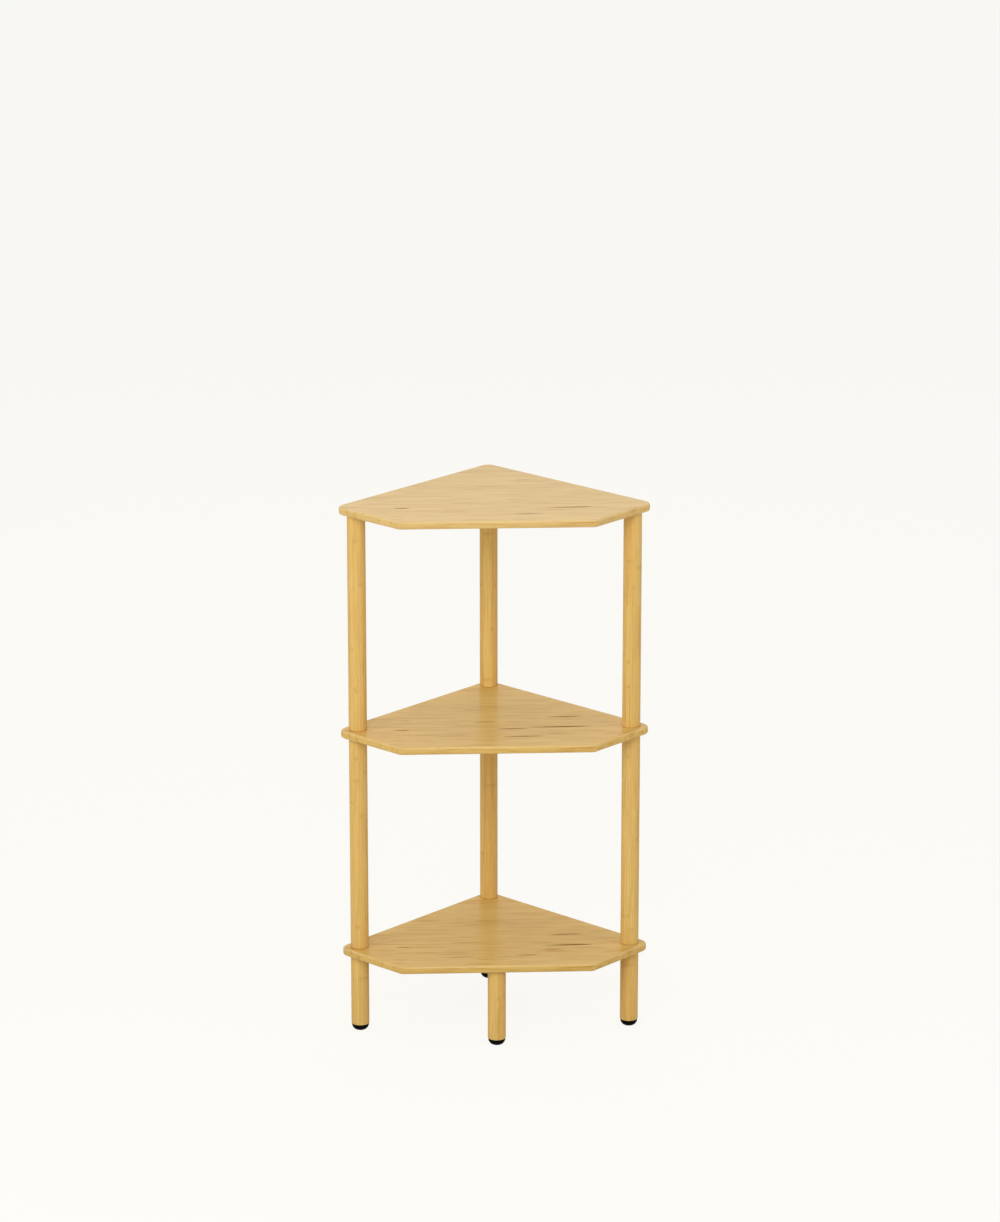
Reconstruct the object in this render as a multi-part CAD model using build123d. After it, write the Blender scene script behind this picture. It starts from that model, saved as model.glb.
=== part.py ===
from build123d import *
import math
import os

# Corner shelf stand: three five-sided boards on round poles that screw together through the boards.
# Millimetres, +Z up, +Y towards the room's corner. The origin is on the floor under the middle of the stand.

# Boards
side_length = 330.0            # along each wall, to the sharp corner before rounding
end_width = 128.0              # short side edge, from the side corner to the front corner
board_thickness = 12.0
edge_round = 3.5               # round-over on the top and bottom edges
back_corner_radius = 14.0
side_corner_radius = 15.0
front_corner_radius = 8.0

# Poles and legs
pole_diameter = 27.0
pole_length = 330.0
leg_length = 110.0
pole_chamfer = 0.7              # on both ends of every pole and leg
side_pole_inset = 22.0         # pole axis to both edges that meet at the side corner
back_pole_inset = 18.0         # pole axis to both wall edges
front_leg_inset = 21.0         # leg axis to the front edge

# Double-ended screws: wood thread below, metric thread above
screw_diameter = 6.0
screw_wood_length = 30.0
screw_point_length = 5.0
screw_end_chamfer = 0.8
long_engagement = 11.0         # metric thread inside an insert in a pole
short_engagement = 7.5         # metric thread inside an insert in a board

# Threaded inserts
insert_diameter = 10.0
insert_flange_diameter = 13.0
insert_flange_thickness = 1.2
insert_drive_flats = 7.0       # hexagon socket at the mouth
insert_drive_depth = 3.0
pole_insert_length = 13.0
board_insert_length = 9.0

# Glides and their nails
glide_height = 10.0
glide_rim_height = 1.6         # straight band against the leg
glide_foot_diameter = 10.0     # flat that stands on the floor
glide_bulge = 0.9              # of the dome's side beyond a straight cone
glide_foot_round = 1.0
nail_diameter = 2.8
nail_length = 18.0             # in the leg
nail_point_length = 4.0
nail_head_diameter = 8.0
nail_head_thickness = 1.2
nail_head_depth = 4.0          # top of the head, below the glide's upper face

# Fits
bolt_clearance = 0.3           # round a screw where it passes through a board
thread_clearance = 0.1         # round every screwed, pressed or nailed piece
moulded_clearance = 0.05       # between the nail and the plastic round it
bore_spare_depth = 1.0         # past the end of what the bore holds

# Places worked out from the sizes above
root_two = math.sqrt(2)
half_width = side_length / root_two
front_distance = end_width / root_two
front_half_width = half_width - front_distance
back_reach = half_width - (root_two - 1) * back_corner_radius
side_line_y = (front_distance - back_reach) / 2
pole_x = half_width - side_pole_inset * root_two
back_pole_y = side_line_y + half_width - back_pole_inset * root_two
front_leg_y = side_line_y - front_distance + front_leg_inset
tier_pitch = board_thickness + pole_length
leg_base_z = glide_height
bottom_board_z = leg_base_z + leg_length
middle_board_z = bottom_board_z + tier_pitch
top_board_z = middle_board_z + tier_pitch
glide_diameter = pole_diameter - 2 * pole_chamfer

pole_places = {
    "left": (-pole_x, side_line_y),
    "right": (pole_x, side_line_y),
    "back": (0.0, back_pole_y),
}
front_leg_place = (0.0, front_leg_y)


def turned(profile_points):
    """A solid turned about Z from points given as radius and height."""
    outline = Polyline(*[(radius, 0, height) for radius, height in profile_points], close=True)
    return revolve(make_face(outline), Axis.Z, 360)


def bore(radius, depth, start_z, upwards=True):
    """A round cutting tool whose mouth is at start_z."""
    middle_z = start_z + depth / 2 if upwards else start_z - depth / 2
    return Pos(0, 0, middle_z) * Cylinder(radius, depth)


def insert_seat(insert_length, screw_reach):
    """The hole that takes a threaded insert from below, with room above it for the screw's end."""
    body_radius = insert_diameter / 2 + thread_clearance
    flange_radius = insert_flange_diameter / 2 + thread_clearance
    seat = bore(body_radius, insert_length + thread_clearance, 0)
    seat += bore(flange_radius, insert_flange_thickness + thread_clearance, 0)
    end_depth = screw_reach + bore_spare_depth
    if end_depth > insert_length:
        seat += bore(screw_diameter / 2 + bolt_clearance, end_depth, 0)
    return seat


def board_blank():
    corners = [
        (0, side_line_y + half_width),
        (-half_width, side_line_y),
        (-front_half_width, side_line_y - front_distance),
        (front_half_width, side_line_y - front_distance),
        (half_width, side_line_y),
    ]
    outline = make_face(Polyline(*corners, close=True))
    by_height = outline.vertices().sort_by(Axis.Y)
    outline = fillet(by_height[-1:], back_corner_radius)
    outline = fillet(outline.vertices().group_by(Axis.Y)[0], front_corner_radius)
    side_corners = [v for v in outline.vertices() if abs(abs(v.X) - half_width) < 1e-6]
    outline = fillet(side_corners, side_corner_radius)
    blank = extrude(outline, board_thickness)
    rims = blank.edges().group_by(Axis.Z)
    return fillet(rims[0] + rims[-1], edge_round)


def through_drilled_board():
    board = board_blank()
    for x, y in pole_places.values():
        board -= Pos(x, y, 0) * bore(screw_diameter / 2 + bolt_clearance, board_thickness, 0)
    return board


def top_shelf():
    board = board_blank()
    for x, y in pole_places.values():
        board -= Pos(x, y, 0) * insert_seat(board_insert_length, short_engagement)
    return board


def bottom_shelf():
    board = through_drilled_board()
    x, y = front_leg_place
    return board - Pos(x, y, 0) * insert_seat(board_insert_length, short_engagement)


def round_bar(length):
    bar = Pos(0, 0, length / 2) * Cylinder(pole_diameter / 2, length)
    ends = bar.edges().filter_by(GeomType.CIRCLE)
    bar = chamfer(ends, pole_chamfer)
    bar -= bore(screw_diameter / 2 + thread_clearance, screw_wood_length + bore_spare_depth, length, False)
    return bar


def pole():
    return round_bar(pole_length) - insert_seat(pole_insert_length, long_engagement)


def leg():
    return round_bar(leg_length) - bore(nail_diameter / 2 + thread_clearance, nail_length + bore_spare_depth, 0)


def double_ended_screw(metric_length):
    """Stands with the pole's end face at height 0, wood thread below."""
    radius = screw_diameter / 2
    return turned([
        (0, -screw_wood_length),
        (radius, -screw_wood_length + screw_point_length),
        (radius, metric_length - screw_end_chamfer),
        (radius - screw_end_chamfer, metric_length),
        (0, metric_length),
    ])


def threaded_insert(insert_length):
    """Mouth at height 0, flange flush with it, hexagon socket inside the mouth."""
    body_radius = insert_diameter / 2
    flange_radius = insert_flange_diameter / 2
    body = turned([
        (0, 0),
        (flange_radius, 0),
        (flange_radius, insert_flange_thickness),
        (body_radius, insert_flange_thickness),
        (body_radius, insert_length - screw_end_chamfer),
        (body_radius - screw_end_chamfer, insert_length),
        (0, insert_length),
    ])
    body -= bore(screw_diameter / 2 + thread_clearance, insert_length, 0)
    socket = RegularPolygon(insert_drive_flats / 2, 6, major_radius=False)
    return body - extrude(socket, insert_drive_depth)


def nail(spare=0.0):
    """Head inside the glide, point up in the leg. With a spare it is the cutting tool for its own cavity."""
    shank = nail_diameter / 2 + spare
    head = nail_head_diameter / 2 + spare
    head_top = glide_height - nail_head_depth + spare
    head_base = glide_height - nail_head_depth - nail_head_thickness - spare
    point_z = glide_height + nail_length
    return turned([
        (0, head_base),
        (head, head_base),
        (head, head_top),
        (shank, head_top),
        (shank, point_z - nail_point_length),
        (0, point_z),
    ])


def glide():
    """A domed foot: a short straight band, then one bulging arc down to the flat that stands on the floor."""
    rim = glide_diameter / 2
    foot = glide_foot_diameter / 2
    rim_z = glide_height - glide_rim_height
    side_run = rim - foot
    side_slope_length = math.hypot(side_run, rim_z)
    bulge_x = (rim + foot) / 2 + glide_bulge * rim_z / side_slope_length
    bulge_z = rim_z / 2 - glide_bulge * side_run / side_slope_length
    dome = ThreePointArc((rim, 0, rim_z), (bulge_x, 0, bulge_z), (foot, 0, 0))
    sides = Polyline((foot, 0, 0), (0, 0, 0), (0, 0, glide_height), (rim, 0, glide_height), (rim, 0, rim_z))
    body = revolve(make_face([dome, sides]), Axis.Z, 360)
    foot_edge = body.edges().filter_by(GeomType.CIRCLE).sort_by(Axis.Z)[0]
    body = fillet(foot_edge, glide_foot_round)
    return body - nail(moulded_clearance)


def build_parts():
    parts = {
        "top_shelf": Pos(0, 0, top_board_z) * top_shelf(),
        "middle_shelf": Pos(0, 0, middle_board_z) * through_drilled_board(),
        "bottom_shelf": Pos(0, 0, bottom_board_z) * bottom_shelf(),
    }
    upper_pole_z = middle_board_z + board_thickness
    lower_pole_z = bottom_board_z + board_thickness
    through_length = board_thickness + long_engagement
    for place, (x, y) in pole_places.items():
        parts["upper_pole_" + place] = Pos(x, y, upper_pole_z) * pole()
        parts["lower_pole_" + place] = Pos(x, y, lower_pole_z) * pole()
        parts["leg_" + place] = Pos(x, y, leg_base_z) * leg()
        parts["upper_pole_insert_" + place] = Pos(x, y, upper_pole_z) * threaded_insert(pole_insert_length)
        parts["lower_pole_insert_" + place] = Pos(x, y, lower_pole_z) * threaded_insert(pole_insert_length)
        parts["top_shelf_insert_" + place] = Pos(x, y, top_board_z) * threaded_insert(board_insert_length)
        parts["upper_pole_screw_" + place] = Pos(x, y, top_board_z) * double_ended_screw(short_engagement)
        parts["lower_pole_screw_" + place] = Pos(x, y, middle_board_z) * double_ended_screw(through_length)
        parts["leg_screw_" + place] = Pos(x, y, bottom_board_z) * double_ended_screw(through_length)
    x, y = front_leg_place
    parts["leg_front"] = Pos(x, y, leg_base_z) * leg()
    parts["bottom_shelf_insert_front"] = Pos(x, y, bottom_board_z) * threaded_insert(board_insert_length)
    parts["leg_screw_front"] = Pos(x, y, bottom_board_z) * double_ended_screw(short_engagement)
    for place, (x, y) in {**pole_places, "front": front_leg_place}.items():
        parts["glide_" + place] = Pos(x, y, 0) * glide()
        parts["glide_nail_" + place] = Pos(x, y, 0) * nail()
    return parts


os.makedirs("parts", exist_ok=True)
for name, solid in build_parts().items():
    solid.label = name
    export_step(solid, f"parts/{name}.step")
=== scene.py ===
import math

import bpy
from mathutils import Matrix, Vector


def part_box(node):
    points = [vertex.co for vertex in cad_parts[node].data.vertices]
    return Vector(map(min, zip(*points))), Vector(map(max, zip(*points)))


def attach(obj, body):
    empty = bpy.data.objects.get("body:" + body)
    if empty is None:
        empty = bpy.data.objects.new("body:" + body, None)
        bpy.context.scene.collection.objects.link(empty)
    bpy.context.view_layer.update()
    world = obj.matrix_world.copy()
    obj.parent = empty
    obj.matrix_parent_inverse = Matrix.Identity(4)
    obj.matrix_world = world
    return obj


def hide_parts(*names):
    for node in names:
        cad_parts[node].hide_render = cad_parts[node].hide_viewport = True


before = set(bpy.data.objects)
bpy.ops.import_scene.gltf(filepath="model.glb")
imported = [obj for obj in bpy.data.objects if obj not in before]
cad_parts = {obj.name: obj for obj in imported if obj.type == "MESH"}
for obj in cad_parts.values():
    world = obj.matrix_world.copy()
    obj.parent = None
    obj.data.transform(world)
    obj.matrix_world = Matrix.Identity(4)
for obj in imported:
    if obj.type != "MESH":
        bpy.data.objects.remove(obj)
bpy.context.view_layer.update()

print("frame loaded:", len(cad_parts), "CAD nodes")

socketKinds = {
    bool: "NodeSocketBool",
    int: "NodeSocketInt",
    float: "NodeSocketFloat",
    tuple: "NodeSocketVector",
}


# small helpers for node trees, geometry and shader alike
def addNode(tree, kind, inputs=None, **settings):
    made = tree.nodes.new(kind)
    for setting, value in settings.items():
        setattr(made, setting, value)
    for socketName, value in (inputs or {}).items():
        socket = made.inputs[socketName]
        if isinstance(value, bpy.types.NodeSocket):
            tree.links.new(value, socket)
        else:
            socket.default_value = value
    return made


def maths(tree, operation, a, b=0.0, c=0.0, clamp=False):
    made = addNode(tree, "ShaderNodeMath", {0: a, 1: b, 2: c}, operation=operation, use_clamp=clamp)
    return made.outputs[0]


def vectorMaths(tree, operation, a, b=(0.0, 0.0, 0.0)):
    return addNode(tree, "ShaderNodeVectorMath", {0: a, 1: b}, operation=operation).outputs[0]


def joinVector(tree, x=0.0, y=0.0, z=0.0):
    return addNode(tree, "ShaderNodeCombineXYZ", {0: x, 1: y, 2: z}).outputs[0]


def splitVector(tree, vector):
    return addNode(tree, "ShaderNodeSeparateXYZ", {0: vector}).outputs


def between(tree, value, low, high, toLow=0.0, toHigh=1.0):
    return addNode(tree, "ShaderNodeMapRange", {0: value, 1: low, 2: high, 3: toLow, 4: toHigh}).outputs[0]


def noise(tree, vector, scale, detail, **more):
    inputs = {"Vector": vector, "Scale": scale, "Detail": detail, **more}
    return addNode(tree, "ShaderNodeTexNoise", inputs).outputs["Fac"]


def stretchedNoise(tree, vector, stretch, detail):
    return noise(tree, vectorMaths(tree, "MULTIPLY", vector, stretch), 1.0, detail)


def addSockets(tree, sockets, direction):
    for label, value in sockets.items():
        kind = value if isinstance(value, str) else socketKinds[type(value)]
        socket = tree.interface.new_socket(label, in_out=direction, socket_type=kind)
        if not isinstance(value, str):
            socket.default_value = value


def newTree(name, kind, inputs, outputs):
    tree = bpy.data.node_groups.new(name, kind)
    addSockets(tree, inputs, "INPUT")
    addSockets(tree, outputs, "OUTPUT")
    given = tree.nodes.new("NodeGroupInput").outputs
    result = tree.nodes.new("NodeGroupOutput").inputs
    return tree, given, result


def newGeometryTree(name, inputs):
    return newTree(name, "GeometryNodeTree", inputs, {"Geometry": "NodeSocketGeometry"})


def useGroup(tree, group, inputs):
    made = tree.nodes.new("GeometryNodeGroup" if tree.bl_idname == "GeometryNodeTree" else "ShaderNodeGroup")
    made.node_tree = group
    for socketName, value in inputs.items():
        if isinstance(value, bpy.types.NodeSocket):
            tree.links.new(value, made.inputs[socketName])
        else:
            made.inputs[socketName].default_value = value
    return made.outputs


def moved(tree, geometry, offset):
    return addNode(tree, "GeometryNodeTransform", {0: geometry, "Translation": offset}).outputs[0]


def lifted(tree, geometry, height):
    return moved(tree, geometry, joinVector(tree, 0.0, 0.0, height))


def cutAway(tree, body, cutter):
    made = addNode(
        tree, "GeometryNodeMeshBoolean", {0: body, 1: cutter}, operation="DIFFERENCE", solver="EXACT")
    return made.outputs[0]


def joinGeometry(tree, *parts):
    made = tree.nodes.new("GeometryNodeJoinGeometry")
    for part in parts:
        tree.links.new(part, made.inputs[0])
    return made.outputs[0]


def pickByIndex(tree, values, kind):
    made = addNode(tree, "GeometryNodeIndexSwitch", data_type=kind)
    while len(made.index_switch_items) < len(values):
        made.index_switch_items.new()
    tree.links.new(tree.nodes.new("GeometryNodeInputIndex").outputs[0], made.inputs["Index"])
    for number, value in enumerate(values):
        tree.links.new(value, made.inputs[number + 1])
    return made.outputs[0]


def spreadNodes(tree):
    # columns from left to right, so the tree can be read when it is opened
    depth = {}

    def depthOf(treeNode):
        if treeNode.name not in depth:
            depth[treeNode.name] = 0
            feeding = [link.from_node for socket in treeNode.inputs for link in socket.links]
            depth[treeNode.name] = 1 + max([depthOf(other) for other in feeding], default=0)
        return depth[treeNode.name]

    rows = {}
    for treeNode in tree.nodes:
        column = depthOf(treeNode)
        rows[column] = rows.get(column, 0) + 1
        treeNode.location = (column * 220, -rows[column] * 190)


def finishSurface(tree, geometry, material, cornerAngle=0.5, flatCaps=False):
    # smooth all over, with edges sharper than cornerAngle kept crisp and level faces flat, then the finish
    smooth = addNode(tree, "GeometryNodeSetShadeSmooth", {0: geometry, "Shade Smooth": True}).outputs[0]
    angle = tree.nodes.new("GeometryNodeInputMeshEdgeAngle").outputs[0]
    crisp = addNode(tree, "GeometryNodeSetShadeSmooth", {
        0: smooth, "Selection": maths(tree, "GREATER_THAN", angle, cornerAngle), "Shade Smooth": False,
    }, domain="EDGE").outputs[0]
    if flatCaps:
        facing = splitVector(tree, tree.nodes.new("GeometryNodeInputNormal").outputs[0])[2]
        level = maths(tree, "GREATER_THAN", maths(tree, "ABSOLUTE", facing), 0.9999)
        crisp = addNode(tree, "GeometryNodeSetShadeSmooth", {
            0: crisp, "Selection": level, "Shade Smooth": False,
        }).outputs[0]
    realized = addNode(tree, "GeometryNodeRealizeInstances", {0: crisp}).outputs[0]
    return addNode(tree, "GeometryNodeSetMaterial", {0: realized, "Material": material}).outputs[0]


def growPiece(pieceName, tree, values, cadNode):
    # the tree is evaluated on a bare object, and its result is kept as a plain mesh
    maker = bpy.data.objects.new(pieceName + "Maker", bpy.data.meshes.new(pieceName + "Maker"))
    bpy.context.scene.collection.objects.link(maker)
    modifier = maker.modifiers.new("shape", "NODES")
    modifier.node_group = tree
    for item in tree.interface.items_tree:
        if item.item_type == "SOCKET" and item.in_out == "INPUT" and item.name in values:
            modifier[item.identifier] = values[item.name]
    evaluated = maker.evaluated_get(bpy.context.evaluated_depsgraph_get())
    mesh = bpy.data.meshes.new_from_object(evaluated)
    bpy.data.objects.remove(maker)
    mesh.name = pieceName
    mesh.materials.clear()
    mesh.materials.append(values["Material"])
    for face in mesh.polygons:
        face.material_index = 0
    piece = bpy.data.objects.new(pieceName, mesh)
    bpy.context.scene.collection.objects.link(piece)
    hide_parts(cadNode)
    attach(piece, "root")
    return piece


def axisPlace(cadNode):
    low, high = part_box(cadNode)
    return ((low.x + high.x) / 2, (low.y + high.y) / 2, low.z), high.z - low.z


# shader groups that more than one finish uses
def buildFibreGrain():
    tree, given, result = newTree("fibreGrain", "ShaderNodeTree", {
        "Vector": (0.0, 0.0, 0.0), "Fibre Length": 0.03, "Fibre Width": 0.0006,
        "Streak Length": 0.12, "Streak Width": 0.004, "Waviness": 0.002,
    }, {"Fine": 0.5, "Streak": 0.5, "Height": 0.5})
    bend = stretchedNoise(tree, given["Vector"], (9.0, 22.0, 22.0), 1.0)
    shift = maths(tree, "MULTIPLY", maths(tree, "SUBTRACT", bend, 0.5), given["Waviness"])
    bent = vectorMaths(tree, "ADD", given["Vector"], joinVector(tree, 0.0, shift, shift))

    def stretched(length, width, detail, roughness):
        across = maths(tree, "DIVIDE", 1.0, width)
        scale = joinVector(tree, maths(tree, "DIVIDE", 1.0, length), across, across)
        return noise(tree, vectorMaths(tree, "MULTIPLY", bent, scale), 1.0, detail, Roughness=roughness)

    fine = stretched(given["Fibre Length"], given["Fibre Width"], 3.0, 0.6)
    streak = stretched(given["Streak Length"], given["Streak Width"], 3.0, 0.55)
    tree.links.new(fine, result["Fine"])
    tree.links.new(streak, result["Streak"])
    coarse = maths(tree, "MULTIPLY", streak, 0.35)
    tree.links.new(maths(tree, "MULTIPLY_ADD", fine, 0.65, coarse), result["Height"])
    spreadNodes(tree)
    return tree


def buildRoundedEdge():
    # 1 where a round-over or a chamfer turns between the flat faces, broken up a little by wear
    tree, given, result = newTree("roundedEdge", "ShaderNodeTree", {
        "Normal": (0.0, 0.0, 1.0), "Vector": (0.0, 0.0, 0.0), "Wear Size": 0.006,
    }, {"Edge": 0.0, "Wear": 0.0})
    tilt = splitVector(tree, given["Normal"])[2]
    squared = maths(tree, "MULTIPLY", tilt, tilt)
    edge = maths(tree, "MULTIPLY", squared, maths(tree, "SUBTRACT", 1.0, squared))
    edge = maths(tree, "MULTIPLY", edge, 4.0, clamp=True)
    spots = noise(tree, given["Vector"], maths(tree, "DIVIDE", 1.0, given["Wear Size"]), 4.0)
    rubbed = between(tree, spots, 0.52, 0.68)
    tree.links.new(edge, result["Edge"])
    tree.links.new(maths(tree, "MULTIPLY", edge, rubbed), result["Wear"])
    spreadNodes(tree)
    return tree


def buildEndGrain():
    # the cut ends of bamboo fibres: small dark dots, closer together in patches
    tree, given, result = newTree("endGrain", "ShaderNodeTree", {
        "Vector": (0.0, 0.0, 0.0), "Facing": 0.0, "Dot Spacing": 0.0013,
    }, {"Mask": 0.0})
    dots = addNode(tree, "ShaderNodeTexVoronoi", {
        "Vector": vectorMaths(tree, "MULTIPLY", given["Vector"], (0.05, 1.0, 1.0)),
        "Scale": maths(tree, "DIVIDE", 1.0, given["Dot Spacing"]),
    }).outputs["Distance"]
    dark = between(tree, dots, 0.42, 0.18)
    facing = between(tree, given["Facing"], 0.50, 0.95)
    tree.links.new(maths(tree, "MULTIPLY", dark, facing), result["Mask"])
    spreadNodes(tree)
    return tree


def buildFleck():
    # one dark dash in the grain, lens-shaped, heavier towards one end
    tree, given, result = newTree("fleck", "ShaderNodeTree", {
        "Vector": (0.0, 0.0, 0.0), "Middle X": 0.0, "Middle Y": 0.0, "Half Length": 0.02,
        "Half Width": 0.0018, "Slope": 0.03, "Heavy End": 0.0, "Strength": 1.0,
    }, {"Mask": 0.0})
    x, y = splitVector(tree, given["Vector"])[:2]
    alongRaw = maths(tree, "SUBTRACT", x, given["Middle X"])
    ragged = stretchedNoise(tree, given["Vector"], (90.0, 260.0, 260.0), 2.0)
    wobble = maths(tree, "MULTIPLY", maths(tree, "SUBTRACT", ragged, 0.5), 0.0022)
    line = maths(tree, "MULTIPLY_ADD", alongRaw, given["Slope"], given["Middle Y"])
    offLine = maths(tree, "ADD", maths(tree, "SUBTRACT", y, line), wobble)
    across = maths(tree, "DIVIDE", offLine, given["Half Width"])
    along = maths(tree, "DIVIDE", alongRaw, given["Half Length"])
    body = maths(tree, "SUBTRACT", 1.0, maths(tree, "MULTIPLY", along, along), clamp=True)
    lens = maths(tree, "SUBTRACT", body, maths(tree, "MULTIPLY", across, across), clamp=True)
    lean = maths(tree, "MULTIPLY", along, given["Heavy End"])
    heavier = maths(tree, "MULTIPLY_ADD", lean, 0.45, 0.75, clamp=True)
    weighted = maths(tree, "MULTIPLY", maths(tree, "POWER", lens, 0.5), heavier)
    tree.links.new(maths(tree, "MULTIPLY", weighted, given["Strength"], clamp=True), result["Mask"])
    spreadNodes(tree)
    return tree


def buildScuffs():
    # fine random scratches and rubbed spots for moulded and metal parts
    tree, given, result = newTree("scuffs", "ShaderNodeTree", {
        "Vector": (0.0, 0.0, 0.0), "Scratch Size": 0.002, "Spot Size": 0.004,
    }, {"Mask": 0.0, "Height": 0.0})
    drawn = vectorMaths(tree, "MULTIPLY", given["Vector"], (1.0, 1.0, 9.0))
    lines = noise(tree, drawn, maths(tree, "DIVIDE", 1.0, given["Scratch Size"]), 3.0, Distortion=0.8)
    spots = noise(tree, given["Vector"], maths(tree, "DIVIDE", 1.0, given["Spot Size"]), 4.0)
    rubbed = between(tree, spots, 0.5, 0.7)
    tree.links.new(maths(tree, "MULTIPLY", rubbed, lines, clamp=True), result["Mask"])
    tree.links.new(lines, result["Height"])
    spreadNodes(tree)
    return tree


fibreGrain = buildFibreGrain()
roundedEdge = buildRoundedEdge()
endGrain = buildEndGrain()
fleck = buildFleck()
scuffs = buildScuffs()
print("shader groups built")


def newMaterial(name):
    material = bpy.data.materials.new(name)
    material.use_nodes = True
    tree = material.node_tree
    return material, tree, tree.nodes["Principled BSDF"]


def mixColour(tree, factor, a, b):
    return addNode(tree, "ShaderNodeMix", {0: factor, 6: a, 7: b}, data_type="RGBA").outputs[2]


def stained(tree, colour, mask, strength, stain):
    return mixColour(tree, maths(tree, "MULTIPLY", mask, strength), colour, stain)


def toned(tree, colour, tone):
    return vectorMaths(tree, "MULTIPLY", colour, joinVector(tree, tone, tone, tone))


def bumped(tree, shader, height, strength, distance):
    bump = addNode(tree, "ShaderNodeBump", {"Height": height, "Strength": strength, "Distance": distance})
    tree.links.new(bump.outputs[0], shader.inputs["Normal"])


# boards
boardFinish = {
    "light": (0.758, 0.503, 0.152, 1.0),
    "middle": (0.700, 0.440, 0.114, 1.0),
    "dark": (0.560, 0.285, 0.045, 1.0),
    "fleck": (0.170, 0.068, 0.006, 1.0),
    # pale: the colour of the painted highlight and the painted sheen on the boards
    "pale": (0.950, 0.920, 0.850, 1.0),
    "patch stretch": (7.0, 55.0, 55.0),
    "patch range": (0.32, 0.74),
    "streak range": (0.52, 0.70, 0.0, 0.75),
    "fibre contrast": (0.90, 1.06),
    "edge highlight": 0.11,
    "edge wear": 0.35,
    "side shade": 0.95,
    "fibre dots": (0.420, 0.220, 0.050, 1.0),
    "fibre dot strength": 0.16,
    "roughness": (0.42, 0.54),
    "dash roughness": 0.5,
    "specular level": 0.05,
    "coat weight": 0.26,
    "worn coat weight": 0.06,
    "coat roughness": 0.2,
    "bump": (0.25, 0.0002),
}


# paleness is the board's painted sheen, tone its painted shade
def boardMaterial(name, baseHeight, flecks, paleness, tone):
    material, tree, shader = newMaterial(name)
    coordinates = tree.nodes.new("ShaderNodeTexCoord").outputs
    place = addNode(tree, "ShaderNodeMapping", {
        "Vector": coordinates["Object"], "Location": (0.0, 0.0, -baseHeight),
    }).outputs[0]
    grain = useGroup(tree, fibreGrain, {
        "Vector": place, "Fibre Length": 0.03, "Fibre Width": 0.0005,
        "Streak Length": 0.060, "Streak Width": 0.0045, "Waviness": 0.0025,
    })
    patch = stretchedNoise(tree, place, boardFinish["patch stretch"], 2.0)
    patch = between(tree, patch, *boardFinish["patch range"])
    colour = mixColour(tree, patch, boardFinish["light"], boardFinish["middle"])
    streak = between(tree, grain["Streak"], *boardFinish["streak range"])
    colour = mixColour(tree, streak, colour, boardFinish["dark"])
    # tone is the board's painted shade, multiplied into its fibre contrast
    contrast = [share * tone for share in boardFinish["fibre contrast"]]
    colour = toned(tree, colour, between(tree, grain["Fine"], 0.3, 0.7, *contrast))
    # the underside has the same dashes, mirrored left to right
    normal = splitVector(tree, coordinates["Normal"])
    side = maths(tree, "SIGN", normal[2])
    faced = vectorMaths(tree, "MULTIPLY", place, joinVector(tree, side, 1.0, 1.0))
    mark = None
    for middleX, middleY, length, width, heavyEnd, strength in flecks:
        found = useGroup(tree, fleck, {
            "Vector": faced, "Middle X": middleX / 1000, "Middle Y": middleY / 1000,
            "Half Length": length / 2000, "Half Width": width / 2000,
            "Heavy End": heavyEnd, "Strength": strength,
        })["Mask"]
        mark = found if mark is None else maths(tree, "MAXIMUM", mark, found)
    colour = mixColour(tree, mark, colour, boardFinish["fleck"])
    dots = useGroup(tree, endGrain, {"Vector": place, "Facing": maths(tree, "ABSOLUTE", normal[0])})["Mask"]
    colour = stained(tree, colour, dots, boardFinish["fibre dot strength"], boardFinish["fibre dots"])
    edge = useGroup(tree, roundedEdge, {"Normal": coordinates["Normal"], "Vector": place})
    colour = stained(tree, colour, edge["Wear"], boardFinish["edge wear"], boardFinish["light"])
    # painted highlight: the upper round-over is mixed towards pale, and the board's paleness adds a painted
    # sheen all over
    upperRoundHighlight = maths(tree, "MULTIPLY", edge["Edge"], between(tree, normal[2], 0.1, 0.5))
    highlightAndSheen = maths(tree, "MULTIPLY_ADD", upperRoundHighlight, boardFinish["edge highlight"], paleness)
    colour = mixColour(tree, highlightAndSheen, colour, boardFinish["pale"])
    # painted shade: the sides below the round-over are painted a little darker than the flat faces
    sideShade = between(tree, maths(tree, "ABSOLUTE", normal[2]), 0.0, 0.7, boardFinish["side shade"], 1.0)
    tree.links.new(toned(tree, colour, sideShade), shader.inputs["Base Color"])
    # the dark dashes are open pores, rough and bare of lacquer
    roughness = between(tree, grain["Fine"], 0.3, 0.7, *boardFinish["roughness"])
    roughness = maths(tree, "MULTIPLY_ADD", mark, boardFinish["dash roughness"], roughness, clamp=True)
    tree.links.new(roughness, shader.inputs["Roughness"])
    coat = between(tree, edge["Wear"], 0.0, 1.0, boardFinish["coat weight"], boardFinish["worn coat weight"])
    closed = maths(tree, "MULTIPLY_ADD", mark, -0.95, 1.0, clamp=True)
    tree.links.new(maths(tree, "MULTIPLY", coat, closed), shader.inputs["Coat Weight"])
    shader.inputs["Coat Roughness"].default_value = boardFinish["coat roughness"]
    shader.inputs["Specular IOR Level"].default_value = boardFinish["specular level"]
    height = maths(tree, "SUBTRACT", grain["Height"], maths(tree, "MULTIPLY", mark, 0.5))
    height = maths(tree, "SUBTRACT", height, maths(tree, "MULTIPLY", dots, 0.4))
    bumped(tree, shader, height, *boardFinish["bump"])
    spreadNodes(tree)
    return material


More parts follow.
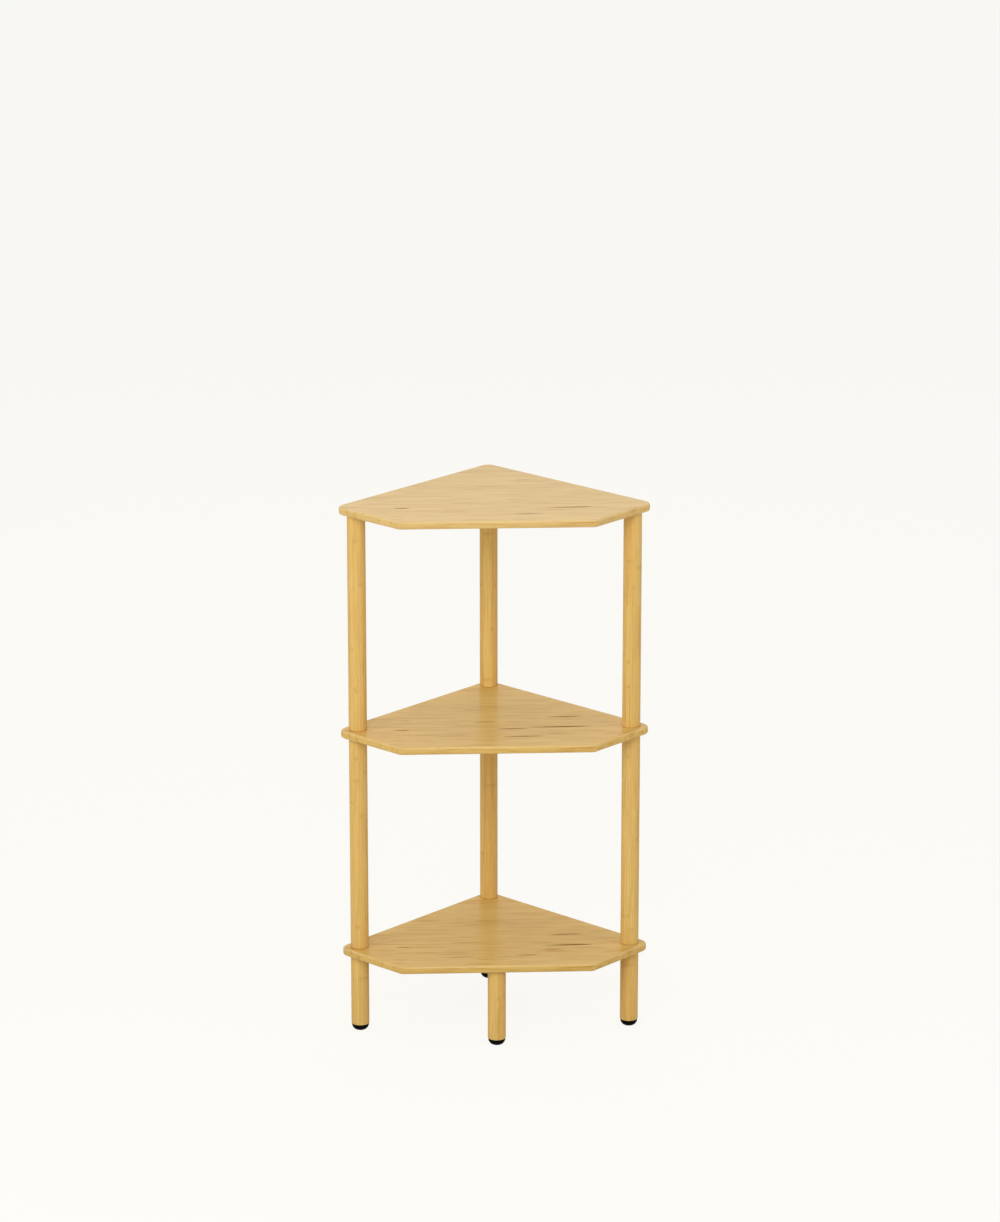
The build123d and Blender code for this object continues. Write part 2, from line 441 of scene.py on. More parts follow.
# middle x, middle y, length, width (mm), heavier end, strength
boardFlecks = {
    "topShelf": [
        (110, -89, 70, 6.0, 0.8, 1.00), (48, -122, 46, 6.2, -0.4, 0.70), (-136, -85, 26, 5.6, 0.2, 0.95),
        (48, 66, 30, 5.0, 0.0, 0.40),
    ],
    "middleShelf": [
        (104, -22, 56, 5.6, 0.5, 0.90), (96, -70, 104, 6.4, 0.8, 1.00), (26, -76, 50, 5.4, 0.2, 0.90),
        (42, -113, 66, 5.4, -0.2, 0.80), (-137, -77, 28, 4.8, 0.3, 0.95), (-132, -33, 18, 5.0, 0.0, 0.40),
        (-14, -43, 40, 4.8, 0.0, 0.70),
    ],
    "bottomShelf": [
        (108, -31, 54, 5.4, 0.5, 0.90), (108, -76, 84, 6.8, 0.9, 1.00), (85, -94, 32, 5.4, 0.0, 0.55),
        (46, -116, 36, 4.8, 0.2, 0.75), (-136, -76, 26, 4.6, 0.2, 0.75), (-56, -120, 48, 4.2, 0.3, 0.45),
        (-96, 36, 42, 5.0, 0.0, 0.30),
    ],
}

boardSizes = {
    "sideLength": 0.330,
    "endWidth": 0.128,
    "Thickness": 0.012,
    "Edge Round": 0.0035,
    "Edge Steps": 9,
    "Seam Strip": 0.0004,
    # these two are 0.1 mm over the CAD's, so the finer arcs stay inside its coarser mesh
    "Back Round": 0.0141,
    "Side Round": 0.0151,
    "Front Round": 0.008,
    "Corner Steps": 24,
    "Screw Hole": 0.0033,
    "Seat Radius": 0.0051,
    "Seat Depth": 0.0091,
    "Flange Seat": 0.0066,
    "Flange Depth": 0.0013,
}
boardHalfWidth = boardSizes["sideLength"] / math.sqrt(2)
boardFrontDistance = boardSizes["endWidth"] / math.sqrt(2)


def buildBoardTree():
    sizes = {key: value for key, value in boardSizes.items() if key[0].isupper()}
    tree, given, result = newGeometryTree("boardPlate", {
        **sizes, "Half Width": boardHalfWidth, "Front Half Width": boardHalfWidth - boardFrontDistance,
        "Side Line": -0.0685, "Front Line": -0.159, "Back Point": 0.165, "Pole X": 0.2022,
        "Back Pole Y": 0.139, "Leg Y": -0.138, "Blind Seats": False, "Leg Seat": False, "Base Height": 0.0,
        "Material": "NodeSocketMaterial",
    })

    def negative(socket):
        return maths(tree, "MULTIPLY", socket, -1.0)

    # outline: five corners, each with its own radius
    corners = pickByIndex(tree, [
        joinVector(tree, 0.0, given["Back Point"]),
        joinVector(tree, negative(given["Half Width"]), given["Side Line"]),
        joinVector(tree, negative(given["Front Half Width"]), given["Front Line"]),
        joinVector(tree, given["Front Half Width"], given["Front Line"]),
        joinVector(tree, given["Half Width"], given["Side Line"]),
    ], "VECTOR")
    radii = pickByIndex(tree, [
        given["Back Round"], given["Side Round"], given["Front Round"],
        given["Front Round"], given["Side Round"],
    ], "FLOAT")
    ring = addNode(tree, "GeometryNodeCurvePrimitiveCircle", {"Resolution": 5, "Radius": 0.1}).outputs[0]
    pentagon = addNode(tree, "GeometryNodeSetPosition", {0: ring, "Position": corners}).outputs[0]
    outline = addNode(tree, "GeometryNodeFilletCurve", {
        0: pentagon, "Radius": radii, "Count": given["Corner Steps"],
    }, mode="POLY").outputs[0]

    # edge band: the side of the board with its two round-overs, swept along the outline
    halfThickness = maths(tree, "MULTIPLY", given["Thickness"], 0.5)
    inset = negative(maths(tree, "ADD", given["Edge Round"], given["Seam Strip"]))
    section = addNode(tree, "GeometryNodeCurvePrimitiveQuadrilateral", {
        "Point 1": joinVector(tree, inset, negative(halfThickness)),
        "Point 2": joinVector(tree, 0.0, negative(halfThickness)),
        "Point 3": joinVector(tree, 0.0, halfThickness),
        "Point 4": joinVector(tree, inset, halfThickness),
    }, mode="POINTS").outputs[0]
    section = addNode(tree, "GeometryNodeSetSplineCyclic", {0: section, "Cyclic": False}).outputs[0]
    section = addNode(tree, "GeometryNodeFilletCurve", {
        0: section, "Radius": given["Edge Round"], "Count": given["Edge Steps"],
    }, mode="POLY").outputs[0]
    band = addNode(tree, "GeometryNodeCurveToMesh", {0: outline, "Profile Curve": section}).outputs[0]

    # faces: both rims of the band are filled
    faceCount = tree.nodes.new("GeometryNodeInputMeshEdgeNeighbors").outputs[0]
    rimEdges = maths(tree, "LESS_THAN", faceCount, 1.5)
    rims = addNode(tree, "GeometryNodeMeshToCurve", {0: band, "Selection": rimEdges}).outputs[0]
    height = splitVector(tree, tree.nodes.new("GeometryNodeInputPosition").outputs[0])[2]
    upper = addNode(tree, "GeometryNodeSeparateGeometry", {
        0: rims, "Selection": maths(tree, "GREATER_THAN", height, 0.0)}, domain="CURVE").outputs
    topFace = addNode(tree, "GeometryNodeFillCurve", {0: upper[0]}, mode="NGONS").outputs[0]
    lowerFace = addNode(tree, "GeometryNodeFillCurve", {0: upper[1]}, mode="NGONS").outputs[0]
    # a filled curve is laid at height 0, so each face is put back at its own height
    topFace = addNode(tree, "GeometryNodeSetPosition", {
        0: topFace, "Offset": joinVector(tree, 0.0, 0.0, halfThickness)}).outputs[0]
    lowerFace = addNode(tree, "GeometryNodeSetPosition", {
        0: lowerFace, "Offset": joinVector(tree, 0.0, 0.0, negative(halfThickness))}).outputs[0]
    lowerFace = addNode(tree, "GeometryNodeFlipFaces", {0: lowerFace}).outputs[0]
    shell = joinGeometry(tree, band, topFace, lowerFace)
    shell = addNode(tree, "GeometryNodeMergeByDistance", {0: shell, "Distance": 0.00001}).outputs[0]
    shell = lifted(tree, shell, halfThickness)

    def drill(sides, radius, depth, share=2.0):
        # centred on the lower face, so half of its length is in the board
        return addNode(tree, "GeometryNodeMeshCylinder", {
            "Vertices": sides, "Radius": radius, "Depth": maths(tree, "MULTIPLY", depth, share),
        }).outputs[0]

    # holes: clearance holes right through, or blind seats for the threaded inserts, cut from below
    hole = drill(40, given["Screw Hole"], given["Thickness"], share=4.0)
    seatBody = drill(48, given["Seat Radius"], given["Seat Depth"])
    seatFlange = drill(48, given["Flange Seat"], given["Flange Depth"])
    seat = addNode(tree, "GeometryNodeMeshBoolean", {1: seatBody}, operation="UNION", solver="EXACT")
    tree.links.new(seatFlange, seat.inputs[1])
    seat = seat.outputs[0]
    cutter = addNode(tree, "GeometryNodeSwitch", {
        0: given["Blind Seats"], 1: hole, 2: seat,
    }, input_type="GEOMETRY").outputs[0]
    polePoints = addNode(tree, "GeometryNodePoints", {"Count": 3, "Position": pickByIndex(tree, [
        joinVector(tree, negative(given["Pole X"]), given["Side Line"]),
        joinVector(tree, given["Pole X"], given["Side Line"]),
        joinVector(tree, 0.0, given["Back Pole Y"]),
    ], "VECTOR")}).outputs[0]
    poleCutters = addNode(tree, "GeometryNodeInstanceOnPoints", {
        0: polePoints, "Instance": cutter}).outputs[0]
    legCutter = addNode(tree, "GeometryNodeSwitch", {
        0: given["Leg Seat"], 2: moved(tree, seat, joinVector(tree, 0.0, given["Leg Y"])),
    }, input_type="GEOMETRY").outputs[0]
    cutters = joinGeometry(tree, poleCutters, legCutter)
    cutters = addNode(tree, "GeometryNodeRealizeInstances", {0: cutters}).outputs[0]
    placed = lifted(tree, cutAway(tree, shell, cutters), given["Base Height"])
    tree.links.new(finishSurface(tree, placed, given["Material"], flatCaps=True), result["Geometry"])
    spreadNodes(tree)
    return tree


boardTree = buildBoardTree()
boardNodes = {"topShelf": "top_shelf", "middleShelf": "middle_shelf", "bottomShelf": "bottom_shelf"}
# painted sheen: how far each board's whole colour is mixed towards pale, most on the top board
boardPaintedSheen = {"topShelf": 0.06, "middleShelf": 0.005, "bottomShelf": 0.0}
# painted shade: each board's colour is multiplied down, darkest on the bottom board under the others
boardShade = {"topShelf": 1.0, "middleShelf": 0.99, "bottomShelf": 0.96}
leftPolePlace = axisPlace("upper_pole_left")[0]
backPolePlace = axisPlace("upper_pole_back")[0]
frontLegPlace = axisPlace("leg_front")[0]
sideLine = leftPolePlace[1]
for pieceName, cadNode in boardNodes.items():
    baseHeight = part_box(cadNode)[0].z
    growPiece(pieceName, boardTree, {
        "Side Line": sideLine, "Front Line": sideLine - boardFrontDistance,
        "Back Point": sideLine + boardHalfWidth, "Base Height": baseHeight,
        "Pole X": -leftPolePlace[0], "Back Pole Y": backPolePlace[1], "Leg Y": frontLegPlace[1],
        "Blind Seats": pieceName == "topShelf", "Leg Seat": pieceName == "bottomShelf",
        "Material": boardMaterial(
            "bambooBoard" + pieceName[0].upper() + pieceName[1:], baseHeight,
            boardFlecks[pieceName], boardPaintedSheen[pieceName], boardShade[pieceName]),
    }, cadNode)
print("boards built")


# turned pieces: poles, legs, glides and nails
def profileCurve(name, points, closed=False):
    # points are radius, height and, where a corner stays sharp, a 0 for its softness; metres
    data = bpy.data.curves.new(name, "CURVE")
    data.dimensions = "3D"
    line = data.splines.new("POLY")
    line.points.add(len(points) - 1)
    for target, point in zip(line.points, points):
        target.co = (point[0], point[1], 0.0, 1.0)
        target.radius = point[2] if len(point) > 2 else 1.0
    line.use_cyclic_u = closed
    curve = bpy.data.objects.new(name, data)
    bpy.context.scene.collection.objects.link(curve)
    return curve


def buildTurnedBody():
    # the profile is swept round a ring, and its points on the axis are merged
    tree, given, result = newGeometryTree("turnedBody", {
        "Profile": "NodeSocketObject", "Softness": 0.0002, "Softness Steps": 3, "Segments": 96,
    })
    ringRadius = 0.01
    profile = addNode(tree, "GeometryNodeObjectInfo", {"Object": given["Profile"]}).outputs["Geometry"]
    pointSoftness = tree.nodes.new("GeometryNodeInputRadius").outputs[0]
    soft = addNode(tree, "GeometryNodeFilletCurve", {
        0: profile, "Radius": maths(tree, "MULTIPLY", pointSoftness, given["Softness"]),
        "Count": given["Softness Steps"], "Limit Radius": True,
    }, mode="POLY").outputs[0]
    even = addNode(tree, "GeometryNodeSetCurveRadius", {0: soft, "Radius": 1.0}).outputs[0]
    # a swept profile hangs downwards from its path, so it is turned over first
    turnedOver = addNode(tree, "GeometryNodeTransform", {
        0: even, "Translation": (-ringRadius, 0.0, 0.0), "Scale": (1.0, -1.0, 1.0)}).outputs[0]
    ring = addNode(tree, "GeometryNodeCurvePrimitiveCircle", {
        "Resolution": given["Segments"], "Radius": ringRadius}).outputs[0]
    swept = addNode(tree, "GeometryNodeCurveToMesh", {0: ring, "Profile Curve": turnedOver}).outputs[0]
    merged = addNode(tree, "GeometryNodeMergeByDistance", {0: swept, "Distance": 0.000002}).outputs[0]
    tree.links.new(merged, result["Geometry"])
    spreadNodes(tree)
    return tree


turnedBody = buildTurnedBody()


def buildTurnedPiece():
    tree, given, result = newGeometryTree("turnedPiece", {
        "Profile": "NodeSocketObject", "Softness": 0.0002, "Softness Steps": 3, "Segments": 96,
        "Place": (0.0, 0.0, 0.0), "Turn": 0.0, "Grain Start": 0.0, "Mark": (0.0, 0.0, 0.0),
        "Material": "NodeSocketMaterial",
    })
    bodyInputs = ("Profile", "Softness", "Softness Steps", "Segments")
    body = useGroup(tree, turnedBody, {key: given[key] for key in bodyInputs})
    position = tree.nodes.new("GeometryNodeInputPosition").outputs[0]
    # turnedPlace: the piece's own coordinates, turned and slid so that no two pieces share their grain
    turned = addNode(tree, "ShaderNodeVectorRotate", {
        "Vector": position, "Angle": given["Turn"]}, rotation_type="Z_AXIS").outputs[0]
    own = vectorMaths(tree, "ADD", turned, joinVector(tree, 0.0, 0.0, given["Grain Start"]))
    stored = addNode(tree, "GeometryNodeStoreNamedAttribute", {
        0: body["Geometry"], "Name": "turnedPlace", "Value": own}, data_type="FLOAT_VECTOR").outputs[0]
    marked = addNode(tree, "GeometryNodeStoreNamedAttribute", {
        0: stored, "Name": "markPlace", "Value": vectorMaths(tree, "SUBTRACT", position, given["Mark"]),
    }, data_type="FLOAT_VECTOR").outputs[0]
    placed = moved(tree, marked, given["Place"])
    tree.links.new(finishSurface(tree, placed, given["Material"]), result["Geometry"])
    spreadNodes(tree)
    return tree


turnedPiece = buildTurnedPiece()

poleFinish = {
    "light": (0.780, 0.530, 0.170, 1.0),
    "middle": (0.745, 0.450, 0.130, 1.0),
    "dark": (0.610, 0.362, 0.092, 1.0),
    # seam: the dark glue lines between strips, also used for the painted shade on a pole's chamfers
    "seam": (0.400, 0.235, 0.070, 1.0),
    "node": (0.500, 0.270, 0.060, 1.0),
    # painted highlight colour for a leg's chamfers
    "chamfer highlight": (0.900, 0.740, 0.420, 1.0),
    "fibre dots": (0.300, 0.165, 0.055, 1.0),
    "fibre dot strength": 0.6,
    "strip width": 0.0068,
    "streak range": (0.45, 0.72, 0.0, 0.8),
    "fibre contrast": (0.88, 1.08),
    "seam strength": 0.60,
    "node spacing": 0.23,
    "node strength": 0.30,
    "own node size": (0.0032, 0.0070, 0.0050),
    "own node strength": 0.38,
    "roughness": (0.40, 0.54),
    "specular level": 0.05,
    "coat weight": (0.19, 0.09),
    "coat roughness": 0.25,
    "bump": (0.25, 0.0002),
}


def buildPoleMaterial(name, chamferLightColour, chamferLightStrength):
    # turned from a block of glued bamboo strips: each strip has its own tone and its own nodes
    material, tree, shader = newMaterial(name)
    place = addNode(tree, "ShaderNodeAttribute", attribute_name="turnedPlace").outputs["Vector"]
    x, y, z = splitVector(tree, place)
    counted = maths(tree, "ADD", maths(tree, "DIVIDE", x, poleFinish["strip width"]), 0.37)
    strip = maths(tree, "FLOOR", counted)
    batch = maths(tree, "FLOOR", maths(tree, "MULTIPLY", z, 1.3))
    tone = addNode(tree, "ShaderNodeTexWhiteNoise", {
        "Vector": joinVector(tree, strip, batch, 3.7)}, noise_dimensions="3D").outputs["Value"]
    colour = mixColour(tree, tone, poleFinish["light"], poleFinish["middle"])
    fibres = joinVector(tree, z, maths(tree, "ADD", x, maths(tree, "MULTIPLY", tone, 0.7)), y)
    grain = useGroup(tree, fibreGrain, {
        "Vector": fibres, "Fibre Length": 0.025, "Fibre Width": 0.0004,
        "Streak Length": 0.09, "Streak Width": 0.0022, "Waviness": 0.002,
    })
    streak = between(tree, grain["Streak"], *poleFinish["streak range"])
    colour = mixColour(tree, streak, colour, poleFinish["dark"])
    colour = toned(tree, colour, between(tree, grain["Fine"], 0.3, 0.7, *poleFinish["fibre contrast"]))
    inStrip = maths(tree, "FRACT", counted)
    toSeam = maths(tree, "MINIMUM", inStrip, maths(tree, "SUBTRACT", 1.0, inStrip))
    seam = between(tree, toSeam, 0.030, 0.008)
    colour = stained(tree, colour, seam, poleFinish["seam strength"], poleFinish["seam"])
    # nodes: a short darker band across one strip, at its own height
    ownStart = maths(tree, "MULTIPLY", tone, 5.3)
    phase = maths(tree, "ADD", maths(tree, "DIVIDE", z, poleFinish["node spacing"]), ownStart)
    fromMiddle = maths(tree, "SUBTRACT", maths(tree, "FRACT", phase), 0.5)
    toNode = maths(tree, "MULTIPLY", fromMiddle, poleFinish["node spacing"])
    ragged = maths(tree, "MULTIPLY", maths(tree, "SUBTRACT", grain["Fine"], 0.5), 0.010)
    nodeBand = between(tree, maths(tree, "ABSOLUTE", maths(tree, "ADD", toNode, ragged)), 0.0036, 0.0010)
    nodeBand = maths(tree, "MULTIPLY", nodeBand, poleFinish["node strength"])
    # and one node that each pole shows clearly, an oval round its own mark
    ownMark = addNode(tree, "ShaderNodeAttribute", attribute_name="markPlace").outputs["Vector"]
    reach = vectorMaths(tree, "MULTIPLY", ownMark, tuple(1 / size for size in poleFinish["own node size"]))
    reach = addNode(tree, "ShaderNodeVectorMath", {0: reach}, operation="LENGTH").outputs["Value"]
    mark = between(tree, maths(tree, "ADD", reach, maths(tree, "MULTIPLY", ragged, 60.0)), 1.0, 0.3)
    mark = maths(tree, "MULTIPLY", mark, poleFinish["own node strength"])
    colour = mixColour(tree, maths(tree, "MAXIMUM", nodeBand, mark), colour, poleFinish["node"])
    coordinates = tree.nodes.new("ShaderNodeTexCoord").outputs
    facing = maths(tree, "ABSOLUTE", splitVector(tree, coordinates["Normal"])[2])
    dots = useGroup(tree, endGrain, {"Vector": fibres, "Facing": facing})["Mask"]
    colour = stained(tree, colour, dots, poleFinish["fibre dot strength"], poleFinish["fibre dots"])
    edge = useGroup(tree, roundedEdge, {"Normal": coordinates["Normal"], "Vector": place})
    # the chamfers at both ends take the given painted light: painted shade on poles, a painted highlight on
    # legs
    tree.links.new(stained(tree, colour, edge["Edge"], chamferLightStrength, chamferLightColour), shader.inputs["Base Color"])
    roughness = between(tree, grain["Fine"], 0.3, 0.7, *poleFinish["roughness"])
    tree.links.new(roughness, shader.inputs["Roughness"])
    coat = between(tree, grain["Streak"], 0.3, 0.7, *poleFinish["coat weight"])
    tree.links.new(coat, shader.inputs["Coat Weight"])
    shader.inputs["Coat Roughness"].default_value = poleFinish["coat roughness"]
    shader.inputs["Specular IOR Level"].default_value = poleFinish["specular level"]
    height = maths(tree, "SUBTRACT", grain["Height"], maths(tree, "MULTIPLY", seam, 0.25))
    height = maths(tree, "SUBTRACT", height, maths(tree, "MULTIPLY", dots, 0.4))
    bumped(tree, shader, height, *poleFinish["bump"])
    spreadNodes(tree)
    return material


# painted shade: a pole's chamfers take the seam colour, as the shade in the groove where the pole meets a
# board; painted highlight: a leg's chamfers are paled, as light caught on them
bambooPole = buildPoleMaterial("bambooPole", poleFinish["seam"], 0.55)
bambooLeg = buildPoleMaterial("bambooLeg", poleFinish["chamfer highlight"], 0.50)

barSizes = {
    "radius": 0.0135,
    "chamfer": 0.0007,
    "screwBore": 0.0031,
    "screwBoreDepth": 0.031,
    "insertSeat": 0.0051,
    "insertSeatDepth": 0.0131,
    "flangeSeat": 0.0066,
    "flangeSeatDepth": 0.0013,
    "nailBore": 0.0015,
    "nailBoreDepth": 0.019,
    "endStrip": 0.002,
}


def barProfile(name, length, nailed):
    radius, chamfer, strip = barSizes["radius"], barSizes["chamfer"], barSizes["endStrip"]
    bore, boreEnd = barSizes["screwBore"], length - barSizes["screwBoreDepth"]
    points = [
        (0.0, boreEnd, 0.0), (bore, boreEnd, 0.0), (bore, length), (radius - chamfer, length),
        (radius, length - chamfer), (radius, length - chamfer - strip, 0.0),
        (radius, chamfer + strip, 0.0), (radius, chamfer), (radius - chamfer, 0.0),
    ]
    if nailed:
        nailBore, nailDepth = barSizes["nailBore"], barSizes["nailBoreDepth"]
        points += [(nailBore, 0.0), (nailBore, nailDepth, 0.0), (0.0, nailDepth, 0.0)]
    else:
        flange, flangeDepth = barSizes["flangeSeat"], barSizes["flangeSeatDepth"]
        seat, seatDepth = barSizes["insertSeat"], barSizes["insertSeatDepth"]
        points += [(flange, 0.0), (flange, flangeDepth, 0.0), (seat, flangeDepth, 0.0)]
        points += [(seat, seatDepth, 0.0), (0.0, seatDepth, 0.0)]
    return profileCurve(name, points)


# turn of the strips (degrees), grain start (m), one clear node: sideways and up from the lower end (mm)
barLooks = {
    "upperPoleLeft": (12, 0.11, (-3.5, 66)), "upperPoleRight": (205, 1.35, (-5.5, 64)),
    "upperPoleBack": (101, 2.62, (4.0, 92)), "lowerPoleLeft": (158, 3.94, (-3.5, 300)),
    "lowerPoleRight": (322, 5.17, (-5.5, 297)), "lowerPoleBack": (257, 6.48, (5.0, 228)),
    "legLeft": (64, 7.71, (13.0, 40)), "legRight": (290, 8.23, (13.0, 82)),
    "legBack": (33, 9.06, (13.0, 30)), "legFront": (118, 10.44, (2.0, 66)),
}


def nodeName(pieceName):
    return "".join("_" + letter.lower() if letter.isupper() else letter for letter in pieceName)


for pieceName, (turn, grainStart, (sideways, up)) in barLooks.items():
    place, length = axisPlace(nodeName(pieceName))
    isLeg = pieceName.startswith("leg")
    profile = barProfile(pieceName + "Profile", length, isLeg)
    growPiece(pieceName, turnedPiece, {
        "Profile": profile, "Softness": 0.00025, "Softness Steps": 3, "Segments": 96,
        "Place": place, "Turn": math.radians(turn), "Grain Start": grainStart,
        "Mark": (sideways / 1000, -barSizes["radius"], up / 1000),
        "Material": bambooLeg if isLeg else bambooPole,
    }, nodeName(pieceName))
    bpy.data.objects.remove(profile)
print("poles and legs built")

# glides
glideSizes = {
    "height": 0.010,
    "rimHeight": 0.0016,
    "rimRadius": 0.0128,
    "footRadius": 0.006,
    "bulge": 0.0018,
    "footRound": 0.001,
    "softness": 0.00025,
    "cavityRadius": 0.00405,
    "cavityBase": 0.00475,
    "cavityTop": 0.00605,
    "shankRadius": 0.00145,
    "arcSteps": 18,
}
plasticFinish = {
    "deep": (0.0020, 0.0015, 0.0015, 1.0),
    "black": (0.0045, 0.0035, 0.0030, 1.0),
    "scuffed": (0.018, 0.016, 0.014, 1.0),
    "scuff strength": 0.35,
    "roughness": (0.46, 0.62),
    "specular level": 0.02,
    "bump": (0.12, 0.00008),
}


def buildPlasticMaterial():
    material, tree, shader = newMaterial("blackPlastic")
    place = addNode(tree, "ShaderNodeAttribute", attribute_name="turnedPlace").outputs["Vector"]
    marks = useGroup(tree, scuffs, {"Vector": place, "Scratch Size": 0.0016, "Spot Size": 0.005})
    colour = mixColour(tree, noise(tree, place, 140.0, 2.0), plasticFinish["deep"], plasticFinish["black"])
    colour = stained(tree, colour, marks["Mask"], plasticFinish["scuff strength"], plasticFinish["scuffed"])
    tree.links.new(colour, shader.inputs["Base Color"])
    shader.inputs["Specular IOR Level"].default_value = plasticFinish["specular level"]
    roughness = between(tree, marks["Mask"], 0.0, 0.6, *plasticFinish["roughness"])
    tree.links.new(roughness, shader.inputs["Roughness"])
    height = maths(tree, "MULTIPLY_ADD", marks["Height"], 0.4, noise(tree, place, 2600.0, 2.0))
    bumped(tree, shader, height, *plasticFinish["bump"])
    spreadNodes(tree)
    return material


blackPlastic = buildPlasticMaterial()


def arcThrough(start, bulge, end, steps):
    # points on a shallow arc that stands out from the straight line by bulge
    run = Vector((end[0] - start[0], end[1] - start[1]))
    half = run.length / 2
    radius = (half * half + bulge * bulge) / (2 * bulge)
    outward = Vector((-run.y, run.x)).normalized()
    if outward.x < 0:
        outward = -outward
    centre = Vector(start) + run / 2 - outward * (radius - bulge)
    first = Vector(start) - centre
    sweep = 2 * math.asin(half / radius)
    sign = 1 if first.x * run.y - first.y * run.x > 0 else -1
    points = []
    for step in range(steps + 1):
        angle = sign * sweep * step / steps
        cosine, sine = math.cos(angle), math.sin(angle)
        turned = (first.x * cosine - first.y * sine, first.x * sine + first.y * cosine)
        points.append((centre.x + turned[0], centre.y + turned[1]))
    return points


def glideProfile(name):
    sizes = glideSizes
    rim, shank, cavity = sizes["rimRadius"], sizes["shankRadius"], sizes["cavityRadius"]
    rimBase = sizes["height"] - sizes["rimHeight"]
    dome = arcThrough((rim, rimBase), sizes["bulge"], (sizes["footRadius"], 0.0), sizes["arcSteps"])
    points = [
        (0.0, sizes["cavityBase"], 0.0), (cavity, sizes["cavityBase"], 0.0),
        (cavity, sizes["cavityTop"], 0.0), (shank, sizes["cavityTop"], 0.0),
        (shank, sizes["height"], 0.0), (rim, sizes["height"]),
    ]
    points += [(x, z, 0.0) for x, z in dome[:-1]]
    # the foot's own round is several times the softness of the rim
    points += [(*dome[-1], sizes["footRound"] / sizes["softness"]), (0.0, 0.0, 0.0)]
    return profileCurve(name, points)


nailSizes = {
    "headRadius": 0.004,
    "headBase": 0.0,
    "headTop": 0.0012,
    "bevelWidth": 0.0008,
    "bevelHeight": 0.0005,
    "shankRadius": 0.0014,
    "pointBase": 0.0192,
    "pointTip": 0.0232,
}


def nailProfile(name):
    sizes = nailSizes
    head, shank = sizes["headRadius"], sizes["shankRadius"]
    return profileCurve(name, [
        (0.0, sizes["pointTip"], 0.0), (shank, sizes["pointBase"]),
        (shank, sizes["headTop"], 0.0), (head, sizes["headTop"]),
        (head, sizes["headBase"] + sizes["bevelHeight"]),
        (head - sizes["bevelWidth"], sizes["headBase"], 0.0), (0.0, sizes["headBase"], 0.0),
    ])


metalFinishes = {
    "zincSteel": {
        "light": (0.66, 0.67, 0.69, 1.0),
        "dark": (0.52, 0.53, 0.55, 1.0),
        "roughness": (0.26, 0.45),
    },
    "insertBrass": {
        "light": (0.80, 0.60, 0.27, 1.0),
        "dark": (0.66, 0.47, 0.19, 1.0),
        "roughness": (0.28, 0.48),
    },
}


def buildMetalMaterial(name):
    finish = metalFinishes[name]
    material, tree, shader = newMaterial(name)
    coordinates = tree.nodes.new("ShaderNodeTexCoord").outputs["Object"]
    marks = useGroup(tree, scuffs, {"Vector": coordinates, "Scratch Size": 0.0012, "Spot Size": 0.003})
    cloud = between(tree, noise(tree, coordinates, 420.0, 5.0), 0.35, 0.65)
    tree.links.new(mixColour(tree, cloud, finish["light"], finish["dark"]), shader.inputs["Base Color"])
    roughness = between(tree, marks["Mask"], 0.0, 0.6, *finish["roughness"])
    tree.links.new(roughness, shader.inputs["Roughness"])
    shader.inputs["Metallic"].default_value = 1.0
    bumped(tree, shader, marks["Height"], 0.2, 0.00005)
    spreadNodes(tree)
    return material


zincSteel = buildMetalMaterial("zincSteel")
insertBrass = buildMetalMaterial("insertBrass")

placeNames = ("Left", "Right", "Back", "Front")
for number, placeName in enumerate(placeNames):
    cadNode = "glide_" + placeName.lower()
    profile = glideProfile("glideProfile")
    growPiece("glide" + placeName, turnedPiece, {
        "Profile": profile, "Softness": glideSizes["softness"], "Softness Steps": 5, "Segments": 80,
        "Place": axisPlace(cadNode)[0], "Turn": 0.7 + 1.9 * number, "Grain Start": 0.05 * number,
        "Material": blackPlastic,
    }, cadNode)
    bpy.data.objects.remove(profile)
    cadNode = "glide_nail_" + placeName.lower()
    profile = nailProfile("nailProfile")
    growPiece("glideNail" + placeName, turnedPiece, {
        "Profile": profile, "Softness": 0.00015, "Softness Steps": 2, "Segments": 32,
        "Place": axisPlace(cadNode)[0], "Material": zincSteel,
    }, cadNode)
    bpy.data.objects.remove(profile)
print("glides and nails built")


